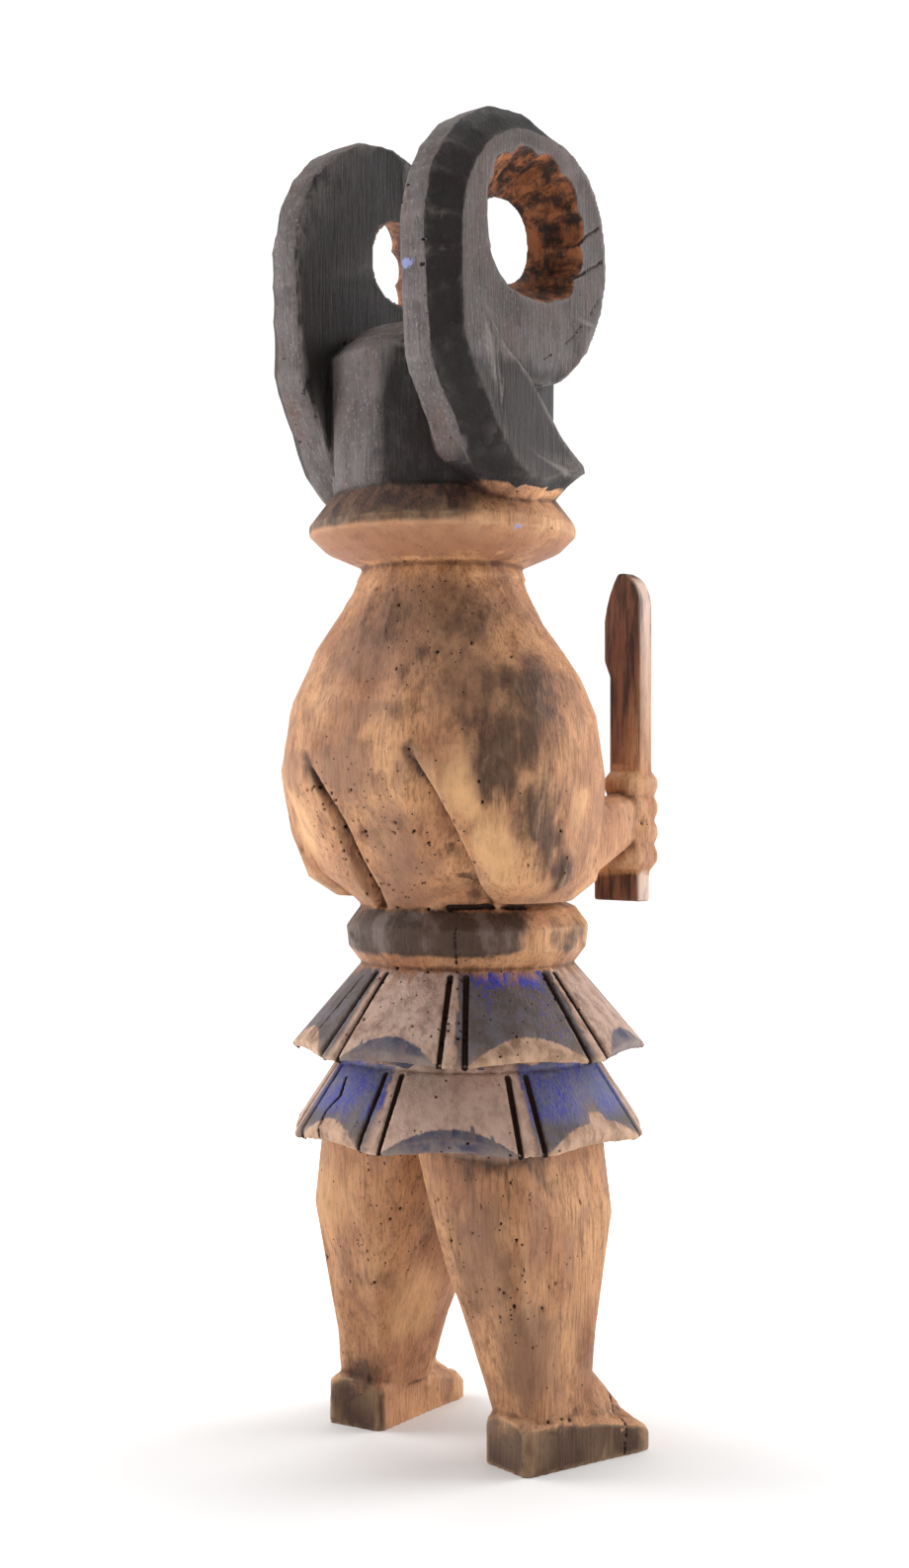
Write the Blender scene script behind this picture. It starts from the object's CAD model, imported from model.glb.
"""Ikenga figure: knife cuts, wear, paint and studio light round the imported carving."""
import math

import bmesh
import bpy
import numpy as np
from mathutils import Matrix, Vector, kdtree


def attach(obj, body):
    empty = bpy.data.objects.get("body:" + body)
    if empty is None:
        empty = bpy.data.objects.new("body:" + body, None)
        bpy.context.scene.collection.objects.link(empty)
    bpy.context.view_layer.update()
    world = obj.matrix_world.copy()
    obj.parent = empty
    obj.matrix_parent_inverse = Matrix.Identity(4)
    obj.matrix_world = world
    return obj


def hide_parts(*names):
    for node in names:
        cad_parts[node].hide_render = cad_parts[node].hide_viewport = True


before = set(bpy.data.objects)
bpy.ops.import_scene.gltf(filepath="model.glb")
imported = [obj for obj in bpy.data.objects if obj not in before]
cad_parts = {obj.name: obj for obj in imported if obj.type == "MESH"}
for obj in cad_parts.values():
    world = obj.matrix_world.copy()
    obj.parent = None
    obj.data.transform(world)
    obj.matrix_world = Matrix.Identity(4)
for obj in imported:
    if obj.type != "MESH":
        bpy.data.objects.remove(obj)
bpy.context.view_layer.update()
rng = np.random.default_rng(7)

# Levels of the carving in millimetres, from the soles up, as in the part's source
HEM = 132.0
UPPER_HEM = 168.0
RING = 205.0
WAIST = 230.0
NECK = 372.0
CAP = 405.0
CROWN = 475.0
HEAD_SETBACK = 16.0
HEM_RADIUS = 76.6
LOWER_TOP = 163.0
UPPER_TOP_RADIUS = 46.0
LOWER_TOP_RADIUS = 57.0
FACE_TOP = 455.0
FACE_BOTTOM = 387.0
FACE_HALF_WIDTH = 29.0
FIST_TOP = 292.0
ANKLE = 28.0
MID_THIGH = 90.0

# Horn rings: the middles of ring and eye hole, as distances to the front and up, the distances
# of a horn's two sides from the middle of the figure, and the ring's radius
HORN_MIDDLE = (-23.0, 501.5)
EYE_MIDDLE = (-19.0, 509.5)
HORN_INSIDE = 29.5
HORN_OUTSIDE = 54.5
HORN_RADIUS = 60

# Skirt seams in degrees about the axis, measured from the front
UPPER_SEAMS = [-187.0, -142.4, -92.0, -47.8, -3.7, 40.5, 84.7, 128.8]
LOWER_SEAMS = [-211.0, -170.0, -117.0, -61.0, -19.0, 23.0, 65.0, 107.0]
SEAM_SPREAD = 8.0

# The mesh: the size of the voxels, and the triangles it is brought down to before the fine cuts
VOXEL = 0.9
FIGURE_FACES = 92000

# Knife cuts: how far one tilts at random, the share of its reach that is cut at full depth, the
# share of it that may turn a corner, and the least depth that is worth a cut
CUT_TILT = 0.03
CUT_CORE = 0.8
CORNER_SHARE = 0.03
LEAST_DEPTH = 0.04

# Large primes that turn a cell's place into one number
CELL_PRIMES = [73856093, 19349663, 83492791]

# Horns: the deepest facet on the rims, and the number and depth of the flutes round an eye hole
FACET_DEPTH = 1.2
FLUTE_COUNT = 12
FLUTE_DEPTH = 3.4

# The skirt's grooves and hem bevels, how far a line straight into its slope falls for each
# millimetre inward, and the insect holes
GROOVE_WIDTH = 3.2
GROOVE_DEPTH = 2.4
BEVEL_HEIGHT = 11.0
SKIRT_FALL = 0.75
PIT_COUNT = 300
PIT_RADII = (0.5, 0.8)
PIT_DEPTH = 1.5

# How far a mask that holds distances reaches on either side of its border
MASK_REACH = 9

# From Blender's metres to millimetres to the figure's right, to its front and up
TO_FIGURE = np.array([-1000, -1000, 1000])
DIRECTION_TO_FIGURE = np.array([-1, -1, 1])

# The photograph's view: turned from straight behind, level, at mid height. The lens in millimetres
# follows from a focal length and a picture height in pixels, and a sensor 36 mm high.
VIEW_TURN = math.radians(43)
VIEW_DISTANCE = 0.941
VIEW_HEIGHT = 0.2817
VIEW_ACROSS = -0.006
VIEW_LENS = 2200 * 36 / 1587

# The white surroundings: their strength as light and as the camera sees them, and the height in
# metres that the lamps aim at
WORLD_LIGHT = 0.2
WORLD_SEEN = 1.05
AIM_HEIGHT = 0.28


def smoothstep(low, high, value):
    """0 at low, 1 at high, and a soft rise between them."""
    share = np.clip((value - low) / (high - low), 0, 1)
    return share * share * (3 - 2 * share)


def tree_of(points):
    tree = kdtree.KDTree(len(points))
    for i, point in enumerate(points):
        tree.insert(point, i)
    tree.balance()
    return tree


class Surface:
    """A mesh as arrays in millimetres: distances to the figure's right, to its front and up."""

    def __init__(self, mesh):
        self.mesh = mesh
        count = len(mesh.vertices)
        flat = np.empty(count * 3)
        mesh.vertices.foreach_get("co", flat)
        self.points = flat.reshape(-1, 3) * TO_FIGURE
        edges = np.empty(len(mesh.edges) * 2, dtype=np.int64)
        mesh.edges.foreach_get("vertices", edges)
        self.edges = edges.reshape(-1, 2)
        self.degree = np.bincount(edges, minlength=count).clip(1)

    def save(self):
        self.mesh.vertices.foreach_set("co", (self.points / TO_FIGURE).ravel())
        self.mesh.update()

    def normals(self):
        self.save()
        flat = np.empty(len(self.points) * 3)
        self.mesh.vertices.foreach_get("normal", flat)
        return flat.reshape(-1, 3) * DIRECTION_TO_FIGURE

    def mean(self, values):
        """The mean of each vertex's neighbours."""
        a, b = self.edges.T
        total = np.zeros_like(values)
        for k in range(values.shape[1]):
            total[:, k] += np.bincount(a, values[b, k], len(values))
            total[:, k] += np.bincount(b, values[a, k], len(values))
        return total / self.degree[:, None]

    def averaged(self, values, passes):
        for _ in range(passes):
            values = self.mean(values)
        return values

    def smooth(self, passes, weight):
        """Takes steps out of the surface without shrinking it."""
        for _ in range(passes):
            for step in (0.55, -0.56):
                shift = self.mean(self.points) - self.points
                self.points += shift * (step * weight)[:, None]


def blob(points, centre, size):
    """1 at the centre of an ellipsoid, falling to 0 at its surface."""
    reach = np.linalg.norm((points - centre) / size, axis=1)
    return 1 - smoothstep(0.3, 1.0, reach)


def face_area(points):
    """The face and a margin round it, where no knife cut or insect hole goes."""
    right, front, up = points.T
    across = (np.abs(right) < FACE_HALF_WIDTH + 8) & (front > 8)
    return across & (up > FACE_BOTTOM) & (up < FACE_TOP + 3)


def fists(points):
    right, front, up = points.T
    return (front > 30) & (np.abs(right) > 30) & (up > WAIST) & (up < FIST_TOP)


def cut_spacing(points):
    """How far apart the knife cuts are on each part, in millimetres."""
    _, front, up = points.T
    spacing = np.full(len(points), 14.0)
    spacing[up > CAP] = 12.0
    spacing[(up > RING) & (up < WAIST)] = 10.0
    spacing[(up > HEM) & (up < RING)] = 9.0
    spacing[up < HEM] = 11.0
    spacing[up < ANKLE] = 10.0
    spacing[fists(points)] = 5.5
    spacing[(front > 40) & (up > FIST_TOP) & (up < CAP)] = 7.0
    return spacing


def cut_limit(points):
    """How deep a cut may go on each part, in millimetres."""
    right, front, up = points.T
    limit = np.full(len(points), 0.55)
    limit[up > CAP] = 0.25
    limit[(up > CAP) & (np.abs(right) < HORN_INSIDE)] = 0.4
    limit[(up > NECK - 4) & (up <= CAP + 3)] = 0
    limit[(up > HEM) & (up < RING + 2)] = 0
    legs = smoothstep(ANKLE, 50, up) * smoothstep(HEM - 1, HEM - 14, up)
    limit[up < HEM] = 0.12 + 0.9 * legs[up < HEM]
    limit[(np.abs(right) < 26) & (up < HEM) & (up > MID_THIGH)] = 0.1
    limit[fists(points)] = 0.25
    return limit


def knife_cuts(surface, part, length, flattest):
    """Flattens one part's round surfaces into the facets that a knife leaves.

    A facet is length times as long as it is wide, and a facing below flattest counts as a corner.
    """
    stretched = surface.points * np.array([1, 1, 1 / length])
    tree = tree_of(stretched)
    normals = surface.averaged(surface.normals(), passes=10)
    normals /= np.linalg.norm(normals, axis=1)[:, None].clip(1e-9)
    spacing = cut_spacing(surface.points)
    limit = cut_limit(surface.points)
    cell = np.floor(stretched / spacing[:, None] + 0.37).astype(np.int64)
    key = (cell * CELL_PRIMES).sum(axis=1) + spacing.astype(np.int64)
    order = rng.permutation(len(key))
    _, first = np.unique(key[order], return_index=True)
    seeds = order[first]
    seeds = seeds[part[seeds] & ~face_area(surface.points[seeds])]
    cut = np.zeros(len(surface.points))
    for seed in seeds:
        reach = spacing[seed]
        found = np.array([i for _, i, _ in tree.find_range(stretched[seed], reach * 1.5)])
        normal = normals[seed] + rng.normal(0, CUT_TILT, 3)
        normal /= np.linalg.norm(normal)
        away = np.linalg.norm(stretched[found] - stretched[seed], axis=1)
        facing = normals[found] @ normals[seed]
        if np.mean(facing[away < CUT_CORE * reach] < flattest) > CORNER_SHARE:
            continue
        rise = (surface.points[found] - surface.points[seed]) @ normal
        fall = -np.median(rise[away < reach])
        if fall < LEAST_DEPTH or limit[seed] == 0:
            continue
        depth = rise + min(fall, limit[seed])
        depth -= 0.25 * np.clip(away - CUT_CORE * reach, 0, None)
        depth -= 6 * np.clip(flattest + 0.08 - facing, 0, None)
        cut[found] = np.maximum(cut[found], np.minimum(depth, 2 * limit[found]))
    cut[face_area(surface.points) | (surface.points[:, 2] < 1.2)] = 0
    surface.points -= surface.normals() * cut[:, None]


def horn_facets(surface):
    """Flat cuts side by side round the horns' rims, each of 12 to 23 degrees."""
    right, front, up = surface.points.T
    along = front - HORN_MIDDLE[0]
    rise = up - HORN_MIDDLE[1]
    reach = np.hypot(along, rise).clip(1)
    turn = np.degrees(np.arctan2(rise, along)) % 360
    # The last facet ends where the first begins, at 360 degrees
    edges = np.append(np.cumsum(rng.uniform(12, 23, 20)), 400)
    edges[-2] = 360
    edges = np.sort(edges)
    index = np.searchsorted(edges, turn)
    start = np.append(0, edges)[index]
    half = (edges[index] - start) / 2
    middle = 1 - ((turn - start - half) / half) ** 2
    deep = HORN_RADIUS * (1 - np.cos(np.radians(half))) * middle
    normals = surface.normals()
    outward = (normals[:, 1] * along + normals[:, 2] * rise) / reach
    rim = smoothstep(0.3, 0.7, outward) * (np.abs(right) > HORN_INSIDE - 1)
    rim *= smoothstep(CAP + 20, CAP + 40, up)
    surface.points -= normals * (rim * np.clip(deep, 0, FACET_DEPTH))[:, None]


def from_eye(points):
    """Distances to the front of, up from and straight out of the eye holes' middles."""
    along = points[:, 1] - EYE_MIDDLE[0]
    rise = points[:, 2] - EYE_MIDDLE[1]
    return along, rise, np.hypot(along, rise).clip(1)


def eye_flutes(surface):
    """Round gouge cuts that run through each horn's eye hole and scallop its mouth."""
    right, _, up = surface.points.T
    along, rise, reach = from_eye(surface.points)
    angle = np.arctan2(rise, along)
    through = (np.abs(right) - HORN_INSIDE) / (HORN_OUTSIDE - HORN_INSIDE)
    near = smoothstep(43, 30, reach) * (up > CAP) * smoothstep(0.0, 0.5, through) * (through < 1.2)
    side = smoothstep(-0.75, 0.1, np.cos(angle - 0.8))
    flutes = np.abs(np.sin(angle * FLUTE_COUNT / 2 + 0.4)) ** 0.7
    push = FLUTE_DEPTH * near * side * flutes
    surface.points[:, 1] += push * along / reach
    surface.points[:, 2] += push * rise / reach


def put(mesh, name, values):
    layer = mesh.attributes.new(name, "FLOAT", "POINT")
    layer.data.foreach_set("value", np.ascontiguousarray(values, dtype=np.float32))


def relief(surface):
    """How far each point stands out from the surface round it, in millimetres."""
    level = surface.averaged(surface.points, passes=14)
    return ((surface.points - level) * surface.normals()).sum(axis=1)


def remeshed(source):
    """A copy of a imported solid's mesh, made of small even faces."""
    piece = bpy.data.objects.new("fine_copy", source.data.copy())
    piece.matrix_world = source.matrix_world
    bpy.context.collection.objects.link(piece)
    remesh = piece.modifiers.new("voxels", "REMESH")
    remesh.mode = "VOXEL"
    remesh.voxel_size = VOXEL * 0.001
    return apply_modifiers(piece)


def apply_modifiers(piece):
    """The mesh that an object's modifiers give; the object itself is removed."""
    graph = bpy.context.evaluated_depsgraph_get()
    mesh = bpy.data.meshes.new_from_object(piece.evaluated_get(graph))
    bpy.data.objects.remove(piece)
    return mesh


def decimated(mesh, faces):
    piece = bpy.data.objects.new("reduced_copy", mesh)
    bpy.context.collection.objects.link(piece)
    triangles = sum(len(face.vertices) - 2 for face in mesh.polygons)
    reduce = piece.modifiers.new("reduce", "DECIMATE")
    reduce.ratio = min(1.0, faces / triangles)
    return apply_modifiers(piece)


def around(turn, radius, up):
    """A place given by its turn from the front, its distance from the axis and its height."""
    angle = math.radians(turn)
    return (-math.sin(angle) * radius, math.cos(angle) * radius, up)


def skirt_lines():
    """The two grooves beside each seam of the skirt."""
    lines = []
    tiers = [
        (UPPER_SEAMS, UPPER_TOP_RADIUS + 2, RING - 2.5, UPPER_HEM),
        (LOWER_SEAMS, LOWER_TOP_RADIUS + 0.5, LOWER_TOP - 0.5, HEM),
    ]
    for seams, top_radius, top, bottom in tiers:
        for seam in seams:
            for side in (-1, 1):
                turn = seam + side * SEAM_SPREAD / 2
                start = around(turn, top_radius, top)
                end = around(turn, HEM_RADIUS - 1, bottom)
                lines.append(([start, end], GROOVE_WIDTH, GROOVE_DEPTH))
    return lines


def into_skirt(points):
    """The direction straight into the skirt's slope."""
    right, front, _ = points.T
    reach = np.hypot(right, front).clip(1)
    fall = np.full(len(points), -SKIRT_FALL)
    inward = np.stack([-right / reach, -front / reach, fall], axis=1)
    return inward / math.hypot(1, SKIRT_FALL)


# Lines cut into the surface: the places they run through, their width and their depth
GROOVES = skirt_lines()
CRACKS = [
    # A crack in the right foot
    ([(50, 24, 27), (62, 25, 22), (67, 24, 12), (67, 23, 1)], 1.0, 1.2),
    # Incised lines, a scratch and the edge of a bevel on the right horn's outer side
    ([(54.4, 8, 508), (54.6, 22, 517.3)], 1.3, 0.9),
    ([(54.4, 5, 492.8), (54.6, 26, 503.8)], 1.3, 0.9),
    ([(54.4, 4, 489.2), (54.4, 18.5, 484.2)], 0.7, 0.5),
    ([(54.4, 22.5, 486), (54.4, 3.6, 466.5), (54.4, -12.2, 456.8), (54.4, -33.7, 452.9)], 0.9, 0.5),
    # Cracks in the waist ring and the skirt, and a gap along the ring's upper edge
    ([around(-143, 53, 224), around(-143.5, 54, 215), around(-143, 46, 204)], 0.8, 1.2),
    ([around(-201, 50, 201), around(-203, 62, 186), around(-204, 73, 170)], 1.0, 1.6),
    ([around(-196, 62, 161), around(-193, 66, 153), around(-197, 70, 146),
      around(-196, 75, 133)], 1.6, 2.4),
    ([around(-150, 39, 231), around(-128, 43, 231.5), around(-106, 44, 230)], 2.2, 1.6),
]


def laid_on(lines, points, tree):
    """The same lines, with a place every 4 mm or so, each moved onto the surface."""
    laid = []
    for places, width, depth in lines:
        path = [np.array(places[0])]
        for a, b in zip(places[:-1], places[1:]):
            run = np.subtract(b, a)
            steps = max(1, round(np.linalg.norm(run) / 4))
            path += [np.array(a) + run * (step + 1) / steps for step in range(steps)]
        laid.append(([points[tree.find(place)[1]] for place in path], width, depth))
    return laid


def line_profile(points, lines):
    """How deep the lines cut each point, in millimetres."""
    cut = np.zeros(len(points))
    for places, width, depth in lines:
        places = np.array(places)
        low = places.min(axis=0) - 2 * width
        high = places.max(axis=0) + 2 * width
        near = np.flatnonzero(((points > low) & (points < high)).all(axis=1))
        if not len(near):
            continue
        away = np.full(len(near), np.inf)
        for a, b in zip(places[:-1], places[1:]):
            run = b - a
            share = np.clip((points[near] - a) @ run / (run @ run), 0, 1)
            away = np.minimum(away, np.linalg.norm(points[near] - a - share[:, None] * run, axis=1))
        profile = depth * np.clip(1 - (away / (width / 2)) ** 1.5, 0, None)
        cut[near] = np.maximum(cut[near], profile)
    return cut


def near_lines(points, lines, margin):
    """Which points lie within the lines, each made wider by a margin."""
    wider = [(places, width + margin, 1.0) for places, width, _ in lines]
    return line_profile(points, wider) > 0


def near_pits(points, pit_tree, reach):
    return np.array([pit_tree.find(point)[2] < reach for point in points])


def refine(mesh, wanted, passes, longest):
    """Splits the long edges at the places that wanted() picks, so that small cuts show."""
    shape = bmesh.new()
    shape.from_mesh(mesh)
    for _ in range(passes):
        picked = wanted(np.array([vertex.co for vertex in shape.verts]) * TO_FIGURE)
        shape.verts.ensure_lookup_table()
        edges = [
            edge for edge in shape.edges
            if (picked[edge.verts[0].index] or picked[edge.verts[1].index])
            and edge.calc_length() > longest * 0.001
        ]
        bmesh.ops.subdivide_edges(shape, edges=edges, cuts=1)
        bmesh.ops.triangulate(shape, faces=[face for face in shape.faces if len(face.verts) > 3])
        shape.verts.index_update()
    shape.to_mesh(mesh)
    shape.free()


# Where insects bored most: how thickly, and the middle and half sizes of the area
BORED_AREAS = [
    (4.5, (8, -66, 262), (60, 40, 50)),
    (2.0, (24, -56, 345), (50, 36, 42)),
    (1.6, (30, -45, 192), (60, 50, 30)),
    (2.2, (46, -40, 95), (60, 50, 60)),
    (2.0, (-20, -30, 100), (45, 45, 56)),
]


def pit_chance(points):
    """How likely insects bored: thick on the back, legs and skirt, thin on the horns."""
    right, _, up = points.T
    chance = np.full(len(points), 0.12)
    for strength, middle, size in BORED_AREAS:
        chance += strength * blob(points, middle, size)
    chance[(up > CAP) & (np.abs(right) < 58)] = 0.16
    chance[face_area(points) | (up < 6)] = 0
    return chance


def pit_places(points):
    """The middles and radii of the insect holes, drawn at random."""
    chance = pit_chance(points)
    chosen = rng.choice(len(chance), PIT_COUNT, replace=False, p=chance / chance.sum())
    return points[chosen], rng.uniform(*PIT_RADII, PIT_COUNT)


def smoothing(points):
    """How strongly the steps of the voxels are smoothed away on each part."""
    up = points[:, 2]
    skirt = (up > HEM - 4) & (up < RING + 2)
    return np.select([face_area(points), fists(points), skirt], [0.85, 0.5, 0.6], 1.0)


def shaped(surface):
    """Works the dense surface: the knife's facets, the horns' rims and their eye holes."""
    surface.smooth(passes=4, weight=smoothing(surface.points))
    legs = surface.points[:, 2] < HEM - 2
    knife_cuts(surface, ~legs, length=1.7, flattest=0.86)
    knife_cuts(surface, legs, length=3.4, flattest=0.76)
    surface.smooth(passes=1, weight=np.full(len(surface.points), 0.6))
    horn_facets(surface)
    eye_flutes(surface)
    surface.save()


def refine_details(mesh, crack_lines, pit_tree):
    """Makes the mesh finer in steps towards the lines and the insect holes."""
    def round_cracks(points):
        return near_lines(points, crack_lines, 10)

    def on_details(points):
        return near_lines(points, GROOVES + crack_lines, 1.4) | near_pits(points, pit_tree, 1.6)

    def on_pits(points):
        return near_pits(points, pit_tree, 1.3)

    refine(mesh, round_cracks, passes=2, longest=2.8)
    refine(mesh, on_details, passes=2, longest=1.1)
    refine(mesh, on_pits, passes=1, longest=0.55)


def cut_details(surface, crack_lines, pit_tree, radii):
    """Cuts grooves, cracks and insect holes, and returns how strong each is."""
    normals = surface.normals()
    grooves = line_profile(surface.points, GROOVES)
    cracks = line_profile(surface.points, crack_lines)
    found = [pit_tree.find(point) for point in surface.points]
    nearest = np.array([hit[1] for hit in found])
    away = np.array([hit[2] for hit in found])
    hole = 1 - smoothstep(0.7, 1.15, away / radii[nearest])
    surface.points += into_skirt(surface.points) * grooves[:, None]
    surface.points -= normals * np.maximum(cracks, PIT_DEPTH * hole)[:, None]
    surface.save()
    return grooves, cracks, hole


def carve():
    """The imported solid, worked in its full detail and brought down to a light mesh."""
    mesh = remeshed(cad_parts["ikenga_figure"])
    surface = Surface(mesh)
    shaped(surface)
    dense_tree = tree_of(surface.points)
    crack_lines = laid_on(CRACKS, surface.points, dense_tree)
    raised = relief(surface)
    mesh = decimated(mesh, FIGURE_FACES)
    pits, radii = pit_places(Surface(mesh).points)
    pit_tree = tree_of(pits)
    refine_details(mesh, crack_lines, pit_tree)
    surface = Surface(mesh)
    grooves, cracks, hole = cut_details(surface, crack_lines, pit_tree, radii)
    raised = raised[[dense_tree.find(point)[1] for point in surface.points]]
    put(mesh, "wear", smoothstep(0.16, 0.7, raised))
    put(mesh, "dirt", smoothstep(0.1, 0.7, -raised))
    put(mesh, "line", np.maximum(grooves / GROOVE_DEPTH, np.clip(cracks, 0, 1)))
    put(mesh, "pit", hole)
    return surface


# Stains and worn places: middle and half sizes, as distances to the right, to the front and up
SPOTS = {
    # Dark weather stains: the right elbow and forearm, the neck, the hem and a foot
    "umber": [
        ((67, -33, 318), (26, 22, 22)), ((67, -44, 299), (26, 22, 22)), ((64, -51, 285), (18, 16, 13)),
        ((70, -34, 272), (20, 14, 24)), ((69, -26, 256), (20, 12, 18)), ((67, -17, 246), (16, 8, 12)),
        ((-6, -74, 390), (20, 14, 4)), ((14, -70, 395), (38, 20, 6)), ((60, -48, 290), (16, 20, 22)),
        ((48, -33, 129), (26, 26, 6)), ((-40, -28, 24), (14, 14, 12)),
    ],
    # Lighter dark film on the upper back
    "smoke": [
        ((6, -58, 349), (22, 26, 18)), ((38, -46, 349), (20, 26, 16)), ((30, -60, 330), (18, 20, 14)),
        ((58, -54, 304), (20, 16, 20)), ((50, -46, 320), (20, 20, 14)),
    ],
    # Grey-brown film on the back and the right leg
    "haze": [
        ((16, -64, 258), (20, 30, 34)), ((0, -72, 287), (30, 30, 20)), ((10, -71, 310), (30, 26, 9)),
        ((34, -52, 352), (50, 30, 30)), ((46, -48, 318), (30, 26, 24)), ((0, -56, 335), (38, 26, 24)),
        ((10, -60, 235), (26, 40, 16)), ((52, -54, 330), (18, 18, 22)), ((40, -40, 84), (24, 18, 46)),
        ((54, -24, 50), (20, 24, 34)),
    ],
    # Clean light wood beside the creases and on the left leg
    "clean": [
        ((51, -60, 282), (9, 22, 26)), ((57, -47, 254), (12, 20, 20)), ((-44, -60, 262), (16, 24, 26)),
        ((70, -10, 270), (14, 10, 26)), ((-44, -26, 106), (28, 26, 36)), ((-30, -10, 60), (26, 24, 30)),
    ],
    # Pale blue specks
    "pale": [((34, -73, 489), (5, 5, 4)), ((54, -29, 385), (4, 4, 4))],
    # Bright blue paint that is left on the skirt's upper tier
    "bright": [
        ((28, -52, 176), (7, 7, 5)), ((62, -30, 178), (5, 5, 6)), ((60, -26, 192), (4, 4, 5)),
    ],
}

# Dark creases down the back and the worn edge of the right horn's tail, as lines one deep
CREASES = [
    ([(31, -70, 296), (35, -68, 287), (39, -64, 275), (40.5, -58, 262), (35, -33, 234)], 11, 1),
    ([(-27, -71, 293), (-12, -67, 269), (-9, -51, 236)], 9, 1),
]
WORN_TAIL = [([(56, -49, 461), (58, -42, 437), (58, -24, 424), (58, -2, 410)], 7, 1)]


def spots(points, name):
    covered = np.zeros(len(points))
    for middle, size in SPOTS[name]:
        covered = np.maximum(covered, blob(points, middle, size))
    return covered


def turn_of(points):
    """Degrees about the axis, measured from the front, falling to the figure's right."""
    right, front, _ = points.T
    return np.degrees(np.arctan2(-right, front))


def panel_masks(points):
    """The skirt's painted and plain panels, which take turns round each tier."""
    up = points[:, 2]
    turn = turn_of(points)
    blue, slate, brown = np.zeros((3, len(points)))
    for seams, low, high, first_painted in (
        (UPPER_SEAMS, UPPER_HEM - 0.5, RING - 1, 1),
        (LOWER_SEAMS, HEM - 1, UPPER_HEM - 0.5, 0),
    ):
        tier = (up > low) & (up <= high)
        order = np.argsort(seams)
        starts = np.array(seams)[order]
        index = order[np.searchsorted(starts, (turn - starts[0]) % 360 + starts[0], "right") - 1]
        painted = index % 2 == first_painted
        brown[tier & ~painted] = 1
        slate[tier & painted] = 1
        if first_painted == 0:
            blue[tier & painted] = smoothstep(HEM + 6, HEM + 20, up[tier & painted])
    return {"blue": blue, "slate": slate, "brown": brown}


def hem_mask(points):
    """How far a point lies inside the arc of bare or painted bevel at its panel's hem."""
    up = points[:, 2]
    turn = turn_of(points)
    inside = np.full(len(points), -float(MASK_REACH))
    for seams, bottom in ((UPPER_SEAMS, UPPER_HEM), (LOWER_SEAMS, HEM)):
        starts = np.sort(seams)
        angle = (turn - starts[0]) % 360 + starts[0]
        index = np.searchsorted(starts, angle, "right") - 1
        start = starts[index]
        end = np.append(starts[1:], starts[0] + 360)[index]
        half = (end - start - SEAM_SPREAD) / 2
        share = (angle - (start + end) / 2) / half
        arc = BEVEL_HEIGHT * (1 - share**2) + 0.5 - (up - bottom)
        tier = (up > bottom - 2.5) & (up < bottom + 16)
        inside = np.where(tier, arc, inside)
    return np.clip(inside, -MASK_REACH, MASK_REACH)


def skirt_masks(points):
    up = points[:, 2]
    top_edge = smoothstep(RING - 9, RING - 4, up)
    top_edge *= smoothstep(-27, -8, -np.abs(turn_of(points) + 117))
    return panel_masks(points) | {
        "hem": hem_mask(points),
        "bright": np.maximum(top_edge, spots(points, "bright")),
        "skirt": (up > HEM - 1) & (up < RING),
        "lower": up < UPPER_HEM - 1,
    }


def from_neck(points):
    """Distances from the head's own axis."""
    return np.hypot(points[:, 0], points[:, 1] + HEAD_SETBACK)


def head_masks(points, normals):
    """Dark patina on the horns and the cap, black in places, and the wood of the eye holes."""
    right, front, up = points.T
    horn = np.where(up > CAP - 4, np.abs(right) - HORN_INSIDE + 1, -MASK_REACH)
    horn = np.where((up < CAP + 8) & (from_neck(points) < 57), -MASK_REACH, horn)
    arch = np.hypot(right / FACE_HALF_WIDTH, np.clip(up - FACE_TOP + 12, 0, None) / 19) - 1
    brow = np.minimum(20 * arch, up - FACE_TOP + 14)
    cap = np.minimum(up - CAP + 1, np.maximum(7 - front, brow))
    lateral = normals[:, 0] * np.sign(right)
    bevel = smoothstep(0.2, 0.4, lateral) * smoothstep(0.93, 0.85, lateral)
    inner_side = smoothstep(-0.4, -0.65, lateral)
    tail = smoothstep(458, 446, up) * smoothstep(0.3, 0.5, lateral)
    black = np.maximum(np.maximum(bevel, inner_side), tail) * (horn > 0)
    cap_side = (horn <= 0) * smoothstep(2, 12, right) * smoothstep(CROWN - 5, CROWN - 20, up)
    along, rise, reach = from_eye(points)
    inward = -(normals[:, 1] * along + normals[:, 2] * rise) / reach
    inside = (np.abs(right) > HORN_INSIDE - 1) & (np.abs(right) < HORN_OUTSIDE + 1) & (reach < 36)
    wall = smoothstep(0.3, 0.6, inward) * smoothstep(0.92, 0.75, np.abs(normals[:, 0]))
    return {
        "dark": np.clip(np.maximum(horn, cap), -MASK_REACH, MASK_REACH),
        "black": np.maximum(black, 0.75 * cap_side),
        "disc": (horn > 0) * smoothstep(0.9, 0.97, lateral),
        "tail": line_profile(points, WORN_TAIL),
        "eye": wall * inside,
    }


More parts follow.
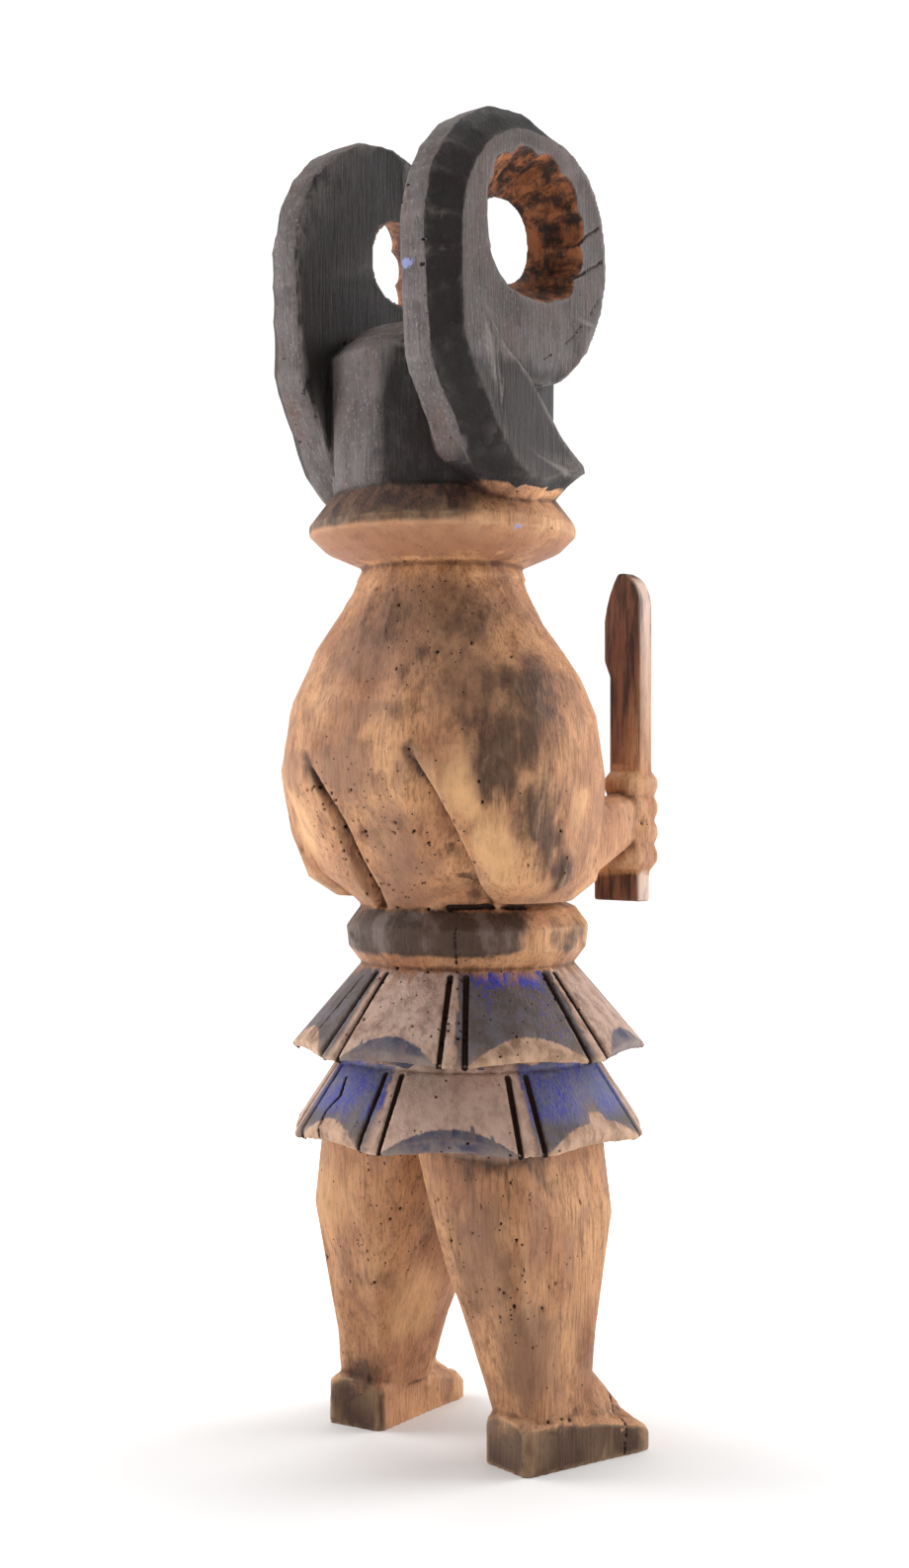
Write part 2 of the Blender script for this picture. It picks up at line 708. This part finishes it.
def body_masks(points, normals):
    """Stains, clean places and the machete."""
    right, front, up = points.T
    ring = smoothstep(RING + 3, RING + 9, up) * smoothstep(WAIST + 2, WAIST - 4, up)
    around_back = np.cos(np.radians(turn_of(points) + 172))
    collar = (up > NECK - 1) * (from_neck(points) > 38) * (up < CAP + 2)
    sole = smoothstep(26, 12, up) * smoothstep(20, 34, np.abs(right))
    outer = smoothstep(0.1, 0.6, normals[:, 0] * np.sign(right)) + smoothstep(-14, -24, front)
    above_fist = (front > 38) & (up > WAIST + 60) & (up < CAP)
    below_fist = (front > 30) & (up < WAIST + 13) & (up > WAIST)
    return {
        "umber": np.maximum(spots(points, "umber"), 0.6 * spots(points, "smoke")),
        "haze": spots(points, "haze"),
        "clean": spots(points, "clean"),
        "pale": spots(points, "pale"),
        "bored": np.clip(pit_chance(points) / 3, 0, 1),
        "crease": line_profile(points, CREASES),
        "band": ring * (0.35 + 0.65 * smoothstep(0.3, 0.8, around_back)),
        "collar_top": collar * smoothstep(385, 391, up) * smoothstep(62, 34, right),
        "collar_low": collar * smoothstep(391, 385, up) * smoothstep(66, 40, right),
        "foot": sole * np.clip(outer, 0, 1) * smoothstep(0.75, 0.3, normals[:, 2]),
        "blade": (above_fist | below_fist) & (right > 28),
        "flank": smoothstep(0.5, 0.8, np.abs(normals[:, 0])),
    }


def colour_masks(surface):
    """Keeps soft masks over the carving as attributes of its vertices."""
    points = surface.points
    normals = surface.normals()
    masks = head_masks(points, normals) | skirt_masks(points) | body_masks(points, normals)
    for name, values in masks.items():
        put(surface.mesh, name, values)


def srgb(red, green, blue):
    """A colour as Blender's nodes want it, from its red, green and blue of 0 to 255."""
    def linear(value):
        value /= 255
        return value / 12.92 if value <= 0.04045 else ((value + 0.055) / 1.055) ** 2.4

    return (linear(red), linear(green), linear(blue), 1)


class Shader:
    """A node material put together from calls that return sockets.

    Colours are sockets or triples of red, green and blue. Masks and noises go by their names.
    """

    def __init__(self, name, noises=()):
        self.material = bpy.data.materials.new(name)
        self.material.use_nodes = True
        self.tree = self.material.node_tree
        self.tree.nodes.clear()
        self.place = self.add("ShaderNodeTexCoord", out="Object")
        self.noises = {noise: self.noise(*noises[noise]) for noise in noises}

    def add(self, kind, out=0, inputs=None, **settings):
        node = self.tree.nodes.new(kind)
        for name, setting in settings.items():
            setattr(node, name, setting)
        for key, given in (inputs or {}).items():
            socket = node.inputs[key]
            if isinstance(given, bpy.types.NodeSocket):
                self.tree.links.new(given, socket)
            else:
                socket.default_value = given
        return node.outputs[out]

    def finish(self, surface):
        output = self.tree.nodes.new("ShaderNodeOutputMaterial")
        self.tree.links.new(surface, output.inputs["Surface"])

    def mask(self, name):
        return self.add("ShaderNodeAttribute", out="Fac", attribute_name=name)

    def noise(self, size, stretch, detail, rough, shift):
        """Noise whose features are about size millimetres across, times the stretch."""
        place = self.add("ShaderNodeVectorMath", operation="MULTIPLY", inputs={
            0: self.place, 1: tuple(1 / part for part in stretch)})
        place = self.add("ShaderNodeVectorMath", operation="ADD", inputs={
            0: place, 1: (shift, shift * 0.7, -shift)})
        return self.add("ShaderNodeTexNoise", out="Fac", inputs={
            "Vector": place, "Scale": 1000 / size, "Detail": detail, "Roughness": rough})

    def blended_noise(self, share, a, b):
        return self.add("ShaderNodeMix", data_type="FLOAT", inputs={
            0: share, 2: self.noises[a], 3: self.noises[b]})

    def pinholes(self, spacing, radius, share):
        """Small round dots, in a share of the cells that are spacing millimetres across."""
        cells = {"Vector": self.place, "Scale": 1000 / spacing}
        away = self.add("ShaderNodeTexVoronoi", out="Distance", inputs=cells)
        chance = self.add("ShaderNodeTexVoronoi", out="Color", inputs=cells)
        chance = self.add("ShaderNodeSeparateColor", inputs={0: chance})
        dot = self.maths("LESS_THAN", away, radius / spacing)
        return self.maths("MULTIPLY", dot, self.maths("LESS_THAN", chance, share))

    def maths(self, operation, a, b):
        return self.add("ShaderNodeMath", operation=operation, inputs={0: a, 1: b})

    def ramp(self, given, low, high):
        """0 up to low and 1 from high; given is a socket or a noise's name."""
        value = self.noises[given] if isinstance(given, str) else given
        return self.add("ShaderNodeMapRange", interpolation_type="SMOOTHSTEP", inputs={
            "Value": value, "From Min": low, "From Max": high})

    def mix(self, share, a, b, blend="MIX"):
        a, b = (part if isinstance(part, bpy.types.NodeSocket) else srgb(*part) for part in (a, b))
        return self.add("ShaderNodeMix", out=2, data_type="RGBA", blend_type=blend, inputs={
            0: share, 6: a, 7: b})

    def two_tone(self, noise, low, high, a, b):
        """One colour where the noise is below low, another where it is above high."""
        return self.mix(self.ramp(noise, low, high), a, b)

    def over(self, base, colour, mask, strength):
        """Lays a colour over another where the mask says, at most as strongly as given."""
        return self.mix(self.maths("MULTIPLY", mask, strength), base, colour)

    def layers(self, base, rows):
        """Colours laid where a noise rises: colour, noise, its low and high level, strength."""
        for colour, noise, low, high, strength in rows:
            base = self.over(base, colour, self.ramp(noise, low, high), strength)
        return base

    def stains(self, base, rows):
        """Colours laid where a mask says: colour, mask, noise, raggedness, softness, strength."""
        for colour, mask, noise, ragged, soft, strength in rows:
            base = self.over(base, colour, self.fuzzy(mask, noise, ragged, soft), strength)
        return base

    def centred(self, noise, reach):
        """A noise between minus and plus half the reach."""
        return self.maths("MULTIPLY", self.maths("SUBTRACT", self.noises[noise], 0.5), reach)

    def border(self, mask, noise, reach, low, high):
        """A mask of distances, with a border that wanders by up to half the reach."""
        away = self.maths("ADD", self.mask(mask), self.centred(noise, reach))
        return self.ramp(away, low, high)

    def fuzzy(self, mask, noise, ragged, soft):
        """A mask whose border is broken up by noise."""
        return self.border(mask, noise, ragged * 2, 0.5 - soft, 0.5 + soft)

    def worn(self, noise, low, high):
        """Where the carving stands out and is rubbed, in patches."""
        return self.maths("MULTIPLY", self.mask("wear"), self.ramp(noise, low, high))


# Noises of the wood: size in millimetres, stretch, detail, roughness, shift
WOOD_NOISES = {
    "grain": (1.0, (1, 1, 16), 3, 0.55, 0.0),
    "streak": (4.5, (1, 1, 9), 5, 0.6, 0.0),
    "speck": (1.5, (1, 1, 1.5), 4, 0.7, 0.0),
    "mottle": (7, (1, 1, 1.8), 8, 0.7, 0.0),
    "blotch": (17, (1, 1, 1.7), 6, 0.62, 7.0),
    "patch": (36, (1, 1, 1.6), 4, 0.6, 3.0),
    "scratch": (1.1, (1, 1, 2.2), 3, 0.8, 5.0),
    "gouge": (3.5, (5, 1, 1), 4, 0.6, 2.0),
}


def bare_wood(s):
    """Tan wood under grey-brown film, with stains, clean places and the waist's dark band."""
    wood = s.two_tone("patch", 0.36, 0.64, (202, 151, 108), (168, 117, 84))
    wood = s.layers(wood, [
        ((140, 102, 82), "blotch", 0.46, 0.66, 0.6),
        ((132, 86, 58), "mottle", 0.48, 0.7, 0.6),
        ((160, 100, 60), "streak", 0.5, 0.72, 0.4),
        ((104, 70, 48), "grain", 0.5, 0.66, 0.48),
        ((92, 66, 54), "speck", 0.55, 0.72, 0.5),
    ])
    brown_top = s.two_tone("streak", 0.42, 0.6, (88, 60, 48), (44, 33, 30))
    wood = s.stains(wood, [
        ((130, 94, 74), "haze", "mottle", 0.6, 0.45, 0.68),
        ((216, 168, 120), "clean", "mottle", 0.8, 0.4, 0.72),
        ((150, 104, 78), "collar_low", "mottle", 0.7, 0.4, 0.9),
        (brown_top, "collar_top", "mottle", 0.4, 0.3, 0.94),
        ((62, 44, 37), "umber", "stain", 1.3, 0.6, 0.9),
        ((66, 43, 33), "crease", "mottle", 0.6, 0.4, 0.85),
        ((66, 50, 43), "foot", "mottle", 0.9, 0.3, 0.88),
    ])
    wood = s.over(wood, (222, 182, 140), s.worn("mottle", 0.3, 0.6), 0.4)
    wood = s.over(wood, machete(s), s.mask("blade"), 0.92)
    dark_band = s.two_tone("blotch", 0.4, 0.56, (90, 80, 78), (42, 34, 32))
    return s.stains(wood, [(dark_band, "band", "blotch", 0.7, 0.2, 0.88)])


def machete(s):
    """Red-brown wood with black streaks, paler on the blade's flanks."""
    blade = s.two_tone("streak", 0.42, 0.6, (120, 78, 62), (46, 34, 32))
    flank = s.two_tone("streak", 0.5, 0.68, (216, 188, 172), (136, 126, 130))
    return s.over(blade, flank, s.mask("flank"), 0.85)


def dark_patina(s):
    """The horns and the cap: grey-brown, black in places, and rubbed on the edges."""
    patina = s.two_tone("patch", 0.38, 0.62, (96, 88, 88), (74, 66, 65))
    patina = s.layers(patina, [
        ((92, 66, 54), "blotch", 0.48, 0.66, 0.6),
        ((52, 44, 42), "mottle", 0.48, 0.7, 0.6),
        ((132, 124, 122), "grain", 0.52, 0.68, 0.15),
        ((44, 38, 37), "speck", 0.56, 0.68, 0.45),
        ((150, 144, 142), "scratch", 0.56, 0.68, 0.5),
    ])
    patina = s.stains(patina, [((19, 15, 14), "black", "mottle", 0.4, 0.3, 0.9)])
    patina = s.over(patina, (66, 60, 59), s.mask("disc"), 0.45)
    patina = s.over(patina, (134, 125, 121), s.worn("mottle", 0.35, 0.6), 0.45)
    return s.stains(patina, [((150, 140, 134), "tail", "speck", 0.5, 0.3, 0.4)])


def skirt_paint(s):
    """The skirt's painted and its plain panels, each with a contrasting bevel along the hem."""
    brown = s.two_tone("mottle", 0.42, 0.7, (184, 154, 138), (130, 102, 88))
    brown = s.layers(brown, [
        ((200, 176, 162), "blotch", 0.5, 0.7, 0.5),
        ((104, 82, 72), "streak", 0.5, 0.66, 0.5),
    ])
    brown = s.over(brown, (204, 170, 152), s.mask("lower"), 0.35)
    slate = s.two_tone("mottle", 0.36, 0.62, (98, 92, 98), (86, 74, 68))
    slate = s.layers(slate, [
        ((116, 96, 84), "blotch", 0.5, 0.66, 0.6),
        ((66, 70, 150), "flake", 0.56, 0.62, 0.5),
    ])
    slate = s.stains(slate, [((60, 66, 170), "bright", "speck", 1.2, 0.2, 0.85)])
    blue = s.two_tone("mottle", 0.36, 0.62, (66, 68, 164), (94, 94, 128))
    blue = s.layers(blue, [((112, 112, 124), "flake", 0.44, 0.62, 0.8)])
    tan_hem = s.two_tone("mottle", 0.4, 0.64, (188, 152, 128), (132, 102, 84))
    slate_hem = s.two_tone("mottle", 0.4, 0.62, (90, 90, 98), (62, 60, 84))
    hem = s.border("hem", "speck", 2.4, -0.4, 0.5)
    paint = s.mix(s.fuzzy("blue", "mottle", 0.9, 0.35), slate, blue)
    return s.mix(hem, paint, tan_hem), s.mix(hem, brown, slate_hem)


def carving_material():
    s = Shader("carved_wood", WOOD_NOISES)
    s.noises["stain"] = s.blended_noise(0.6, "streak", "mottle")
    s.noises["flake"] = s.blended_noise(0.5, "blotch", "speck")
    base = s.mix(s.border("dark", "mottle", 7.0, -1.0, 1.0), bare_wood(s), dark_patina(s))
    painted, plain = skirt_paint(s)
    base = s.mix(s.mask("slate"), base, painted)
    base = s.mix(s.mask("brown"), base, plain)
    worn_skirt = s.maths("MULTIPLY", s.mask("wear"), s.mask("skirt"))
    base = s.over(base, (206, 170, 134), worn_skirt, 0.25)

    # Orange-brown gouged wood in the eye holes, and pale blue specks
    eye = s.two_tone("mottle", 0.4, 0.6, (150, 92, 58), (56, 40, 34))
    eye = s.layers(eye, [((40, 29, 26), "gouge", 0.5, 0.62, 0.7)])
    base = s.mix(s.mask("eye"), base, eye)
    base = s.stains(base, [((132, 142, 190), "pale", "speck", 0.6, 0.15, 0.8)])

    # Dirt in hollows, incised lines and insect holes
    grime = s.mix(1.0, base, (122, 96, 82), "MULTIPLY")
    base = s.over(base, grime, s.mask("dirt"), 0.85)
    base = s.mix(s.ramp(s.mask("line"), 0.1, 0.4), base, (44, 28, 22))
    base = s.mix(s.ramp(s.mask("pit"), 0.25, 0.7), base, (30, 21, 18))
    share = s.maths("ADD", s.maths("MULTIPLY", s.mask("bored"), 0.5), 0.02)
    base = s.mix(s.pinholes(2.7, 0.45, share), base, (40, 28, 23))

    # Fine relief along the grain, and a dull surface
    height = s.maths("MULTIPLY", s.noises["grain"], 0.6)
    for noise, weight in (("speck", 0.4), ("streak", 0.7)):
        height = s.maths("ADD", height, s.maths("MULTIPLY", s.noises[noise], weight))
    bump = s.add("ShaderNodeBump", inputs={"Strength": 0.85, "Distance": 0.0008, "Height": height})
    rough = s.maths("ADD", s.maths("MULTIPLY", s.noises["mottle"], 0.25), 0.5)
    surface = s.add("ShaderNodeBsdfPrincipled", inputs={
        "Base Color": base, "Roughness": rough, "Specular IOR Level": 0.2, "Normal": bump})
    s.finish(surface)
    return s.material


def floor_material():
    """White paper that glows away from the feet, so only their soft shadow shows."""
    s = Shader("white_sweep")
    away = s.add("ShaderNodeVectorMath", out="Value", operation="LENGTH", inputs={0: s.place})
    glow = s.ramp(away, 0.05, 0.75)
    surface = s.add("ShaderNodeBsdfPrincipled", inputs={
        "Base Color": (0.86, 0.86, 0.86, 1), "Roughness": 0.9,
        "Emission Color": (1, 1, 1, 1), "Emission Strength": glow})
    s.finish(surface)
    return s.material


def white_room():
    """A white floor and a white backdrop, which lights the figure only a little."""
    bpy.ops.mesh.primitive_plane_add(size=14)
    floor = bpy.context.object
    floor.name = "white_floor"
    floor.data.materials.append(floor_material())
    world = bpy.data.worlds.new("studio")
    bpy.context.scene.world = world
    world.use_nodes = True
    nodes, links = world.node_tree.nodes, world.node_tree.links
    nodes.clear()
    seen = nodes.new("ShaderNodeLightPath")
    strength = nodes.new("ShaderNodeMapRange")
    strength.inputs["To Min"].default_value = WORLD_LIGHT
    strength.inputs["To Max"].default_value = WORLD_SEEN
    sky = nodes.new("ShaderNodeBackground")
    sky.inputs["Color"].default_value = (1, 1, 1, 1)
    output = nodes.new("ShaderNodeOutputWorld")
    links.new(seen.outputs["Is Camera Ray"], strength.inputs["Value"])
    links.new(strength.outputs[0], sky.inputs["Strength"])
    links.new(sky.outputs[0], output.inputs["Surface"])


def seen_from(across, towards, up):
    """A place given as the view sees it: across, towards the camera and up, in metres."""
    c, s = math.cos(VIEW_TURN), math.sin(VIEW_TURN)
    return (-across * c - towards * s, -across * s + towards * c, up)


# Area lights that face the figure's middle: across, towards and up; width and height; power
LIGHTS = {
    "left_box": ((-1.1, -0.35, 0.55), (0.8, 1.4), 17),
    "right_box": ((1.1, -0.35, 0.5), (0.8, 1.4), 18),
    "top_box": ((0, -0.1, 1.5), (1.2, 1.2), 12),
    "near_box": ((0.3, 1.4, 0.7), (1.2, 1.2), 3),
    "back_box": ((0, -1.6, 0.6), (1.6, 1.4), 8.5),
}


def lights():
    for name, (place, size, power) in LIGHTS.items():
        data = bpy.data.lights.new(name, "AREA")
        data.shape = "RECTANGLE"
        data.size, data.size_y = size
        data.energy = power
        light = bpy.data.objects.new(name, data)
        light.location = seen_from(*place)
        aim = Vector((0, 0, AIM_HEIGHT)) - light.location
        light.rotation_euler = aim.to_track_quat("-Z", "Y").to_euler()
        bpy.context.collection.objects.link(light)


def camera():
    data = bpy.data.cameras.new("view")
    data.sensor_fit = "VERTICAL"
    data.sensor_width = 36
    data.sensor_height = 36
    data.lens = VIEW_LENS
    piece = bpy.data.objects.new("view", data)
    piece.location = seen_from(VIEW_ACROSS, VIEW_DISTANCE, VIEW_HEIGHT)
    piece.rotation_euler = (math.radians(90), 0, math.radians(180) + VIEW_TURN)
    bpy.context.collection.objects.link(piece)
    bpy.context.scene.camera = piece


def main():
    surface = carve()
    colour_masks(surface)
    mesh = surface.mesh
    mesh.name = "carved_figure"
    mesh.materials.clear()
    mesh.materials.append(carving_material())
    mesh.shade_smooth()
    figure = bpy.data.objects.new("carved_figure", mesh)
    bpy.context.collection.objects.link(figure)
    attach(figure, "root")
    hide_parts("ikenga_figure")
    white_room()
    lights()
    camera()
    bpy.context.scene.view_settings.view_transform = "Standard"


main()
